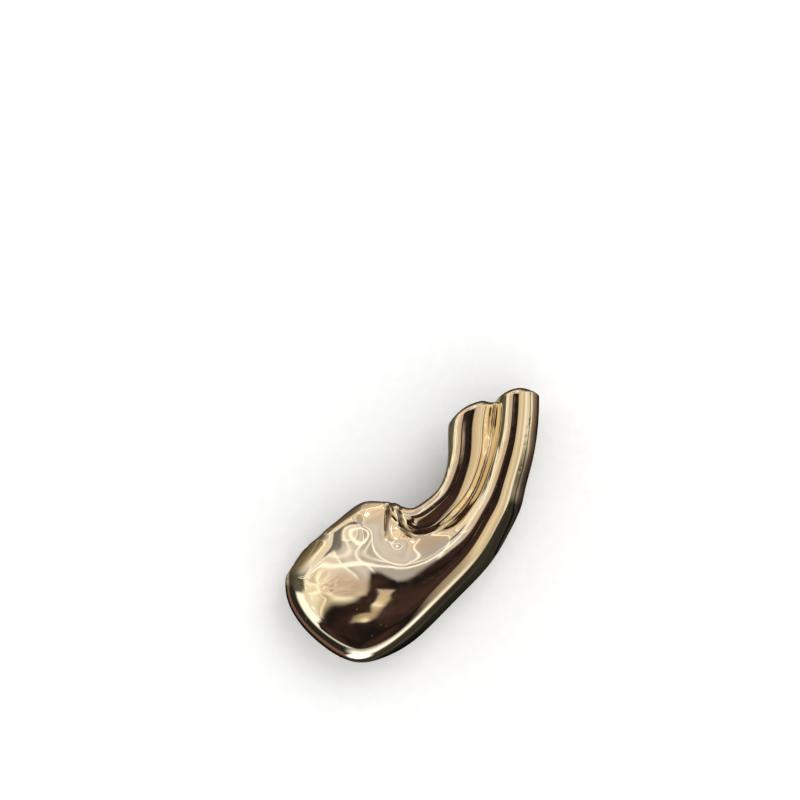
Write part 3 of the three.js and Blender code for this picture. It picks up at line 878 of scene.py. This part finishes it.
# Soft figures at the left of the room, and the sheen in the dark shape:
FIGURES = (
    (0.38, (0.66, 0.60, 0.52)),
    (0.43, (1.0, 1.0, 1.0)),
    (0.49, (1.10, 1.08, 1.02)),
    (0.505, (1.30, 1.28, 1.22)),
    (0.52, (0.78, 0.72, 0.62)),
    (0.58, (0.92, 0.88, 0.80)),
    (0.60, (1.25, 1.22, 1.15)),
    (0.62, (0.80, 0.74, 0.64)),
)
DARK_SHAPE = (
    (0.40, (0.012, 0.008, 0.008)),
    (0.62, (0.050, 0.026, 0.022)),
)
CEILING_EDGE = (
    (0.60, (1.0, 1.0, 1.0)),
    (0.70, (0.25, 0.24, 0.20)),
    (0.90, (0.08, 0.07, 0.05)),
    (1.0, (0.0, 0.0, 0.0)),
)
OVAL_SOFTNESS = 0.25
OVALS = (
    {"name": "lamp", "place": (-0.02, 0.39), "size": (0.042, 0.02), "colour": (3.0, 3.0, 2.9)},
    {"name": "dark door", "place": (-0.29, 0.25), "size": (0.07, 0.022),
     "colour": (0.16, 0.15, 0.16)},
    {"name": "window", "place": (-0.08, -0.80), "size": (0.20, 0.055),
     "colour": (1.6, 1.65, 1.8)},
)


# Patterns on the disc: their size, detail and swirl.
DRIFT = {"scale": 7.0, "detail": 1.0, "swirl": 0.0}  # how far things waver from their places
PATCHES = {"scale": 2.6, "detail": 0.4, "swirl": 0.7}  # the ceiling
FIGURE_PATTERN = {"scale": 8.0, "detail": 1.0, "swirl": 1.2}
SHEEN = {"scale": 4.0, "detail": 2.0, "swirl": 0.5}  # in the dark shape

WAVER = 0.07  # how much of the drift the long lines follow
LOOSE = 0.16  # how much of it the soft shapes follow
LOOSE_OUT = 0.5  # and the left of the room, near the middle
FRONT_SAG = 0.10  # how much lower the front of the room reaches at the left
NEAR_MIDDLE = 0.02  # keeps slant and lean small at the very middle
BELOW_SHADE = 0.96  # how dark it is low in the room
LINE_COLOUR = (1.2, 1.18, 1.14, 1.0)
BLACK = (0.0, 0.0, 0.0, 1.0)

# Each soft change from one thing to another: where it starts and where it ends. Slant and lean
# are how far to the rear and to the right a place lies, for how far out it is.
CHANGES = {
    "loose, by out": (0.55, 0.40),
    "sag, by right": (0.4, 0.1),
    "figures, by right": (-0.15, -0.24),
    "figures, by depth": (0.24, 0.16),
    "left, by lean": (-0.2, -0.4),
    "left, by rear": (0.02, -0.06),
    "ceiling, by slant": (0.3, 0.6),
    "front, by slant": (-0.55, -0.85),
    "below, by slant": (-0.05, -0.35),
    "below, by out": (0.66, 0.70),
    "lines, by out": (0.66, 0.56),
    "column, by width": (0.015, -0.015),
    "column, by rear": (0.14, 0.09),
    "column, by brow": (0.08, 0.04),
    "bulk, by edge": (-0.25, -0.17),
    "bulk, by right": (0.0, -0.02),
    "bulk, by rear": (-0.01, -0.05),
    "arm, by shoulder": (0.0, -0.02),
    "dark shape, by out": (0.56, 0.53),
}
# The dark shape in front: half the width of its column and how that grows to the front, the way
# across its slanting edge, and the pale arm and hand left out of it.
COLUMN = {"half": 0.135, "growth": -0.25}
BULK_EDGE = (1.3, -0.95)
SHOULDER_SLOPE = 0.19
ARM = {"middle": (-0.055, -0.08), "width": (0.052, 0.030), "height": (0.15, 0.08)}
HAND = {"middle": (-0.10, -0.20), "width": (0.07, 0.04), "height": (0.05, 0.025)}


class RoomNodes(Nodes):
    """The world's nodes, with the place on the disc that each way points at."""

    def __init__(self, tree):
        super().__init__(tree)
        way = self.add("ShaderNodeTexCoord").outputs["Generated"]
        x, y, z = self.split(way)
        reach = self.math("SQRT", self.math("MULTIPLY_ADD", z, 2.0, 2.0001))
        self.right = self.math("DIVIDE", x, reach)
        self.rear = self.math("DIVIDE", y, reach)
        self.out = self.math("SQRT", self.math("MULTIPLY_ADD", z, -0.5, 0.5001))
        self.disc = self.add(
            "ShaderNodeCombineXYZ", {"X": self.right, "Y": self.rear}).outputs["Vector"]
        drift_x, drift_y, _ = self.split(self.noise(DRIFT, "Color"))
        self.drift_x = self.math("SUBTRACT", drift_x, 0.5)
        self.drift_y = self.math("SUBTRACT", drift_y, 0.5)
        self.loose_x = self.math("MULTIPLY_ADD", self.drift_x, LOOSE, self.right)
        self.loose_y = self.math("MULTIPLY_ADD", self.drift_y, LOOSE, self.rear)
        sag = self.change("sag, by right", self.right)
        self.low_out = self.math("SUBTRACT", self.out, self.math("MULTIPLY", sag, FRONT_SAG))
        share_of = self.math("ADD", self.out, NEAR_MIDDLE)
        self.slant = self.math("DIVIDE", self.rear, share_of)
        self.leftward = self.change("left, by lean", self.math("DIVIDE", self.right, share_of))

    def split(self, vector):
        outputs = self.add("ShaderNodeSeparateXYZ", {"Vector": vector}).outputs
        return [outputs[name] for name in "XYZ"]

    def noise(self, sizes, output="Fac"):
        return self.add("ShaderNodeTexNoise", {
            "Vector": self.disc, "Scale": sizes["scale"], "Detail": sizes["detail"],
            "Distortion": sizes["swirl"]}).outputs[output]

    def step(self, value, start, end):
        node = self.add("ShaderNodeMapRange", {
            "Value": value, "From Min": start, "From Max": end}, interpolation_type="SMOOTHSTEP")
        return node.outputs["Result"]

    def change(self, name, value):
        return self.step(value, *CHANGES[name])

    def times(self, *values):
        result = values[0]
        for value in values[1:]:
            result = self.math("MULTIPLY", result, value)
        return result

    def tinted(self, base, tint, strength=1.0):
        result = self.mix(strength, base, tint)
        result.node.blend_type = "MULTIPLY"
        return result

    def oval(self, place, size):
        across = self.math("MULTIPLY", self.math("SUBTRACT", self.right, place[0]), 1 / size[0])
        along = self.math("MULTIPLY", self.math("SUBTRACT", self.rear, place[1]), 1 / size[1])
        away = self.math("SQRT", self.math(
            "ADD", self.times(across, across), self.times(along, along)))
        return self.step(away, 1 + OVAL_SOFTNESS, 1 - OVAL_SOFTNESS)

    def bar(self, sizes):
        """A soft oblong, as two factors: across and along."""
        sides = (self.loose_x, sizes["width"]), (self.loose_y, sizes["height"])
        return [self.step(self.math("ABSOLUTE", self.math("SUBTRACT", value, middle)), *ends)
                for (value, ends), middle in zip(sides, sizes["middle"])]


def room_walls(room):
    """The room from side to side, its ceiling behind and its front."""
    wavering = room.math("MULTIPLY_ADD", room.drift_x, WAVER, room.right)
    walls = room.ramp(room.math("MULTIPLY_ADD", wavering, 0.5, 0.5), tuple(
        (0.5 + 0.5 * place, colour) for place, colour in ROOM_ACROSS))
    by_side = room.times(
        room.change("figures, by right", room.right),
        room.change("figures, by depth", room.math("ABSOLUTE", room.rear)))
    walls = room.tinted(walls, room.ramp(room.noise(FIGURE_PATTERN), FIGURES), by_side)
    below = room.times(
        room.change("below, by out", room.out), room.change("below, by slant", room.slant))
    walls = room.mix(room.math("MULTIPLY", below, BELOW_SHADE), walls, BLACK)

    ceiling = room.tinted(room.ramp(room.noise(PATCHES), CEILING),
                          room.ramp(room.out, CEILING_EDGE))
    ceiling = room.tinted(ceiling, room.ramp(room.rear, WARM_CEILING))

    loosened = room.times(LOOSE_OUT, room.change("loose, by out", room.out))
    loose_out = room.math("MULTIPLY_ADD", room.drift_y, loosened, room.out)
    front = room.mix(room.leftward, room.ramp(room.low_out, ROOM_FRONT),
                     room.ramp(loose_out, ROOM_LEFT))
    front_part = room.math(
        "MAXIMUM", room.change("front, by slant", room.slant),
        room.times(room.leftward, room.change("left, by rear", room.loose_y)))

    colour = room.mix(room.change("ceiling, by slant", room.slant), walls, ceiling)
    return room.mix(front_part, colour, front)


def bright_lines(room):
    """How strongly the bright lines show."""
    lines = room.ramp(room.math("MULTIPLY_ADD", room.drift_y, WAVER, room.rear), tuple(
        (place, (bright,) * 3) for place, bright in BRIGHT_LINES))
    return room.times(lines, room.change("lines, by out", room.out))


def dark_shape(room):
    """How strongly the dark shape in front shows."""
    grown = room.math("MAXIMUM", room.math("MULTIPLY", room.rear, COLUMN["growth"]), 0.0)
    half = room.math("ADD", grown, COLUMN["half"])
    brow = room.math("ADD", room.rear, room.math("MINIMUM", room.right, 0.0))
    past_side = room.math("SUBTRACT", room.math("ABSOLUTE", room.right), half)
    column = room.times(
        room.change("column, by width", past_side),
        room.change("column, by rear", room.loose_y), room.change("column, by brow", brow))
    edge = room.math("MULTIPLY_ADD", room.loose_x, BULK_EDGE[0],
                     room.math("MULTIPLY", room.loose_y, BULK_EDGE[1]))
    bulk = room.times(
        room.change("bulk, by edge", edge), room.change("bulk, by right", room.right),
        room.change("bulk, by rear", room.rear))
    shoulder = room.math("ADD", room.rear, room.math("MULTIPLY", room.right, SHOULDER_SLOPE))
    arm = room.times(*room.bar(ARM), room.change("arm, by shoulder", shoulder))
    hand = room.times(*room.bar(HAND))
    return room.times(
        room.math("MAXIMUM", column, bulk), room.change("dark shape, by out", room.low_out),
        room.math("SUBTRACT", 1.0, room.math("MAXIMUM", arm, hand)))


def surroundings(world, settings):
    """A room for the gold to mirror, and plain soft light for everything else."""
    world.use_nodes = True
    room = RoomNodes(world.node_tree)
    colour = room.mix(bright_lines(room), room_walls(room), LINE_COLOUR)
    colour = room.mix(dark_shape(room), colour, room.ramp(room.noise(SHEEN), DARK_SHAPE))
    for patch in OVALS:
        colour = room.mix(room.oval(patch["place"], patch["size"]), colour,
                          (*patch["colour"], 1.0))
        colour.node.label = patch["name"]
    painted = room.add("ShaderNodeBackground", {
        "Color": colour, "Strength": settings.room_strength})
    plain = room.add("ShaderNodeBackground", {
        "Color": (*settings.soft_light, 1.0), "Strength": settings.soft_strength})
    mirrored = room.add("ShaderNodeLightPath").outputs["Is Glossy Ray"]
    both = room.add("ShaderNodeMixShader", {0: mirrored})
    room.tree.links.new(plain.outputs["Background"], both.inputs[1])
    room.tree.links.new(painted.outputs["Background"], both.inputs[2])
    room.add("ShaderNodeOutputWorld", {"Surface": both.outputs["Shader"]})


def add_floor(context, settings):
    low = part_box("cuff_shell")[0]
    half = settings.floor_size / 2
    mesh = bpy.data.meshes.new("floor")
    ways = (-1, -1), (1, -1), (1, 1), (-1, 1)
    corners = [(half * x, half * y, low.z) for x, y in ways]
    mesh.from_pydata(corners, [], [(0, 1, 2, 3)])
    mesh.materials.append(paper_material(settings))
    floor = bpy.data.objects.new("floor", mesh)
    floor.visible_glossy = False
    context.scene.collection.objects.link(floor)


KEY_LIGHT = {"place": (0.25, 0.35, 0.6), "size": 0.5}  # it faces the frame's origin


def add_key_light(context, settings):
    light = bpy.data.lights.new("soft_key", "AREA")
    light.shape = "DISK"
    light.size = KEY_LIGHT["size"]
    light.energy = settings.key_power
    light.specular_factor = 0.0
    lamp = bpy.data.objects.new("soft_key", light)
    lamp.location = KEY_LIGHT["place"]
    lamp.rotation_euler = (-Vector(KEY_LIGHT["place"])).to_track_quat("-Z", "Y").to_euler()
    lamp.visible_glossy = False
    lamp.visible_camera = False
    context.scene.collection.objects.link(lamp)


def add_camera(context, settings):
    low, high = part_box("cuff_shell")
    rim = low.z + context.scene.cuff_sizes.rim_height
    data = bpy.data.cameras.new("camera")
    data.sensor_width = 36.0
    data.lens = data.sensor_width * settings.camera_distance / settings.field_width
    data.clip_start = 0.01
    camera = bpy.data.objects.new("camera", data)
    camera.location = (
        (low.x + high.x) / 2 + settings.aim[0],
        (low.y + high.y) / 2 + settings.aim[1],
        rim + settings.camera_distance)
    context.scene.collection.objects.link(camera)
    context.scene.camera = camera


class CUFF_OT_stage(bpy.types.Operator):
    """Lay the pale floor and set up the light, the mirrored room and the camera"""

    bl_idname = "cuff.stage"
    bl_label = "Stage"
    bl_options = {"REGISTER", "UNDO"}

    def execute(self, context):
        settings = context.scene.cuff_stage
        add_floor(context, settings)
        add_key_light(context, settings)
        world = bpy.data.worlds.new("room")
        surroundings(world, settings)
        context.scene.world = world
        context.scene.view_settings.view_transform = "Standard"
        add_camera(context, settings)
        return {"FINISHED"}


class CUFF_PT_panel(bpy.types.Panel):
    """Everything that builds the ear cuff"""

    bl_idname = "CUFF_PT_panel"
    bl_label = "Ear cuff"
    bl_space_type = "VIEW_3D"
    bl_region_type = "UI"
    bl_category = "Ear cuff"

    def draw(self, context):
        layout = self.layout
        for settings in (context.scene.cuff_sizes, context.scene.cuff_finish,
                         context.scene.cuff_stage):
            box = layout.box()
            for name in settings.__annotations__:
                box.prop(settings, name)
        for operator in OPERATORS:
            layout.operator(operator.bl_idname)


OPERATORS = (CUFF_OT_shell, CUFF_OT_stage)
CLASSES = (CuffSizes, CuffFinish, StageSettings, *OPERATORS, CUFF_PT_panel)


def register():
    for cls in CLASSES:
        bpy.utils.register_class(cls)
    bpy.types.Scene.cuff_sizes = PointerProperty(type=CuffSizes)
    bpy.types.Scene.cuff_finish = PointerProperty(type=CuffFinish)
    bpy.types.Scene.cuff_stage = PointerProperty(type=StageSettings)


def unregister():
    del bpy.types.Scene.cuff_stage
    del bpy.types.Scene.cuff_finish
    del bpy.types.Scene.cuff_sizes
    for cls in reversed(CLASSES):
        bpy.utils.unregister_class(cls)


def main():
    register()
    bpy.ops.cuff.shell()
    bpy.ops.cuff.stage()


if __name__ == "__main__":
    main()
